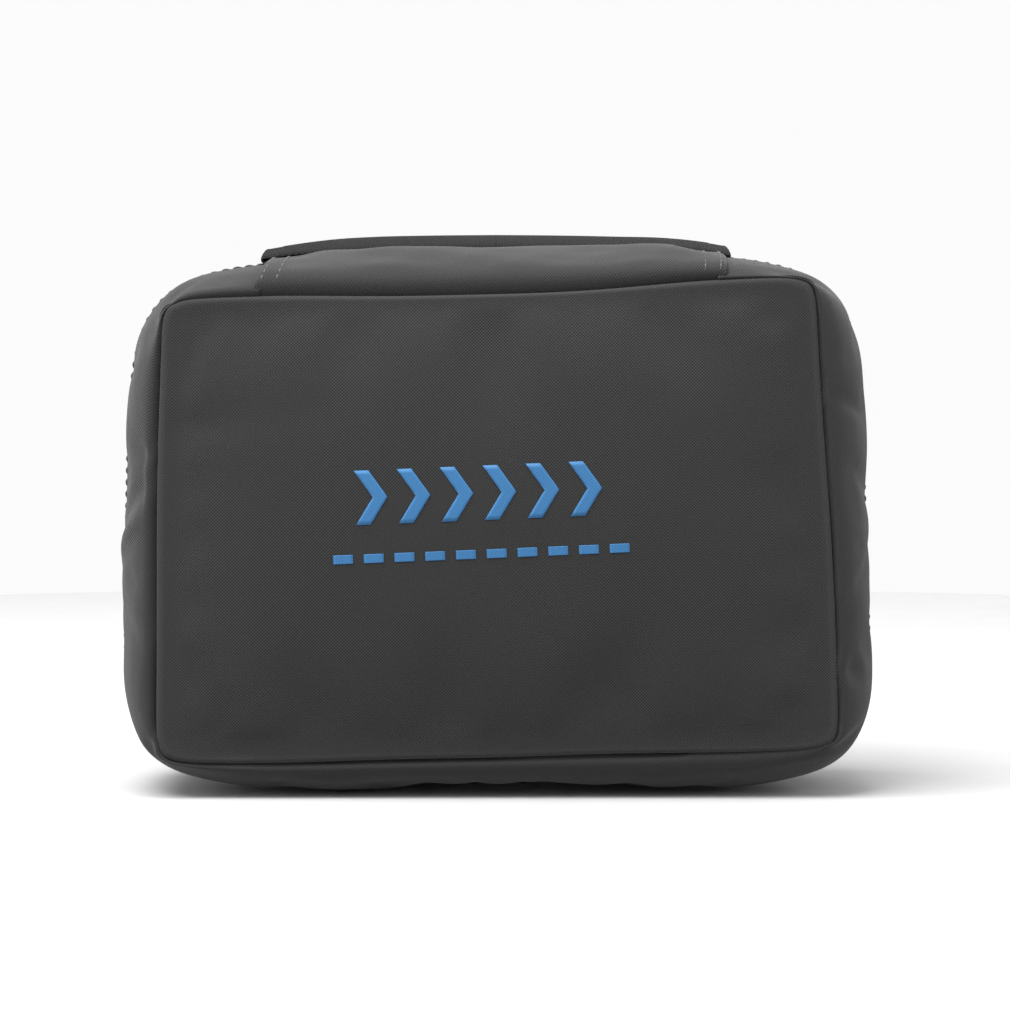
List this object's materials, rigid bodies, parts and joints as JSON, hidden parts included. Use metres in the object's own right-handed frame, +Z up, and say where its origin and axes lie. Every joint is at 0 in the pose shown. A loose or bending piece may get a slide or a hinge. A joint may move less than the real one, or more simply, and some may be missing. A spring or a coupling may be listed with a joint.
{
  "type": "hanging toiletry bag",
  "caption": "Soft padded rectangular toiletry bag with a zip round three sides, a top carry handle, inner pockets and a fold-out hook for hanging it open.",
  "frame": {"origin": "centre of the base, on the plane that the bag stands on", "axes": "+X to the bag's right as seen from the front, front panel towards -Y, +Z up"},
  "size_m": [0.24, 0.0802, 0.1773],
  "materials": {
    "oxford_cloth": "woven polyester oxford, matt",
    "foam": "open-cell foam",
    "lining_cloth": "plain woven taffeta",
    "zip_tape": "woven polyester tape",
    "zip_coil": "nylon coil",
    "print": "screen print",
    "mesh_cloth": "knitted polyester mesh",
    "elastic": "woven elastic",
    "thread": "spun polyester thread",
    "webbing": "ribbed polypropylene webbing",
    "hook_plastic": "moulded acetal",
    "slider_metal": "black lacquered zinc alloy"
  },
  "bodies": {
    "case": {"rear_panel": "oxford_cloth", "rear_foam": "foam", "rear_gusset": "oxford_cloth", "rear_lining_panel": "lining_cloth", "rear_lining_wall": "lining_cloth", "rear_zip_tape": "zip_tape", "rear_zip_coil": "zip_coil", "zip_stops": "slider_metal", "elastic_loops": "elastic", "loop_tacks": "thread", "slip_pocket": "mesh_cloth", "slip_pocket_elastic": "elastic", "rear_spine_patch": "oxford_cloth"},
    "spine": {"spine_panel": "oxford_cloth", "spine_foam": "foam", "spine_lining": "lining_cloth", "handle_ends": "webbing"},
    "handle": {"handle_strap": "webbing"},
    "lid": {"front_panel": "oxford_cloth", "front_foam": "foam", "front_gusset": "oxford_cloth", "front_lining_panel": "lining_cloth", "front_lining_wall": "lining_cloth", "front_zip_tape": "zip_tape", "front_zip_coil": "zip_coil", "front_print": "print", "lid_mesh": "mesh_cloth", "lid_pocket_facing": "lining_cloth", "pocket_zip_tape": "zip_tape", "pocket_zip_coil": "zip_coil", "hook_anchor": "webbing", "front_spine_patch": "oxford_cloth"},
    "hook_tab": {"hook_webbing": "webbing", "hook_eye": "hook_plastic"},
    "hook": {"hook": "hook_plastic", "swivel_cap": "hook_plastic"},
    "slider_left": {"slider_left": "slider_metal"},
    "slider_right": {"slider_right": "slider_metal"},
    "pull_left": {"pull_left": "slider_metal"},
    "pull_right": {"pull_right": "slider_metal"},
    "pocket_slider": {"pocket_slider": "slider_metal"},
    "pocket_pull": {"pocket_pull": "slider_metal"}
  },
  "joints": [
    {"name": "spine_fold", "type": "hinge", "parent": "case", "child": "spine", "pos_m": [0, 0.014, 0.171], "axis": [-1, 0, 0], "range_deg": [0, 90]},
    {"name": "lid_fold", "type": "hinge", "parent": "spine", "child": "lid", "pos_m": [0, -0.014, 0.171], "axis": [-1, 0, 0], "range_deg": [0, 90]},
    {"name": "handle_lift", "type": "slide", "parent": "spine", "child": "handle", "axis": [0, 0, 1], "range_m": [0, 0.015]},
    {"name": "hook_fold", "type": "hinge", "parent": "lid", "child": "hook_tab", "pos_m": [0, 0.0012, 0.01093], "axis": [-1, 0, 0], "range_deg": [0, 180]},
    {"name": "hook_swivel", "type": "hinge", "parent": "hook_tab", "child": "hook", "pos_m": [0, 0.0012, 0.032], "axis": [0, 0, 1], "continuous": true},
    {"name": "slider_left_travel", "type": "slide", "parent": "case", "child": "slider_left", "axis": [-1, 0, 0], "range_m": [0, 0.06]},
    {"name": "slider_right_travel", "type": "slide", "parent": "case", "child": "slider_right", "axis": [1, 0, 0], "range_m": [0, 0.06]},
    {"name": "pull_left_swing", "type": "hinge", "parent": "slider_left", "child": "pull_left", "pos_m": [-0.0075, 0, 0.00378], "axis": [0, -1, 0], "range_deg": [0, 140]},
    {"name": "pull_right_swing", "type": "hinge", "parent": "slider_right", "child": "pull_right", "pos_m": [0.0075, 0, 0.00378], "axis": [0, 1, 0], "range_deg": [0, 140]},
    {"name": "pocket_slider_travel", "type": "slide", "parent": "lid", "child": "pocket_slider", "axis": [1, 0, 0], "range_m": [0, 0.164]},
    {"name": "pocket_pull_swing", "type": "hinge", "parent": "pocket_slider", "child": "pocket_pull", "pos_m": [-0.082, -0.02494, 0.037], "axis": [0, 0, 1], "range_deg": [0, 150]}
  ],
  "couplings": [
    {"joint": "hook_fold", "follows": "spine_fold", "ratio": 2}
  ]
}
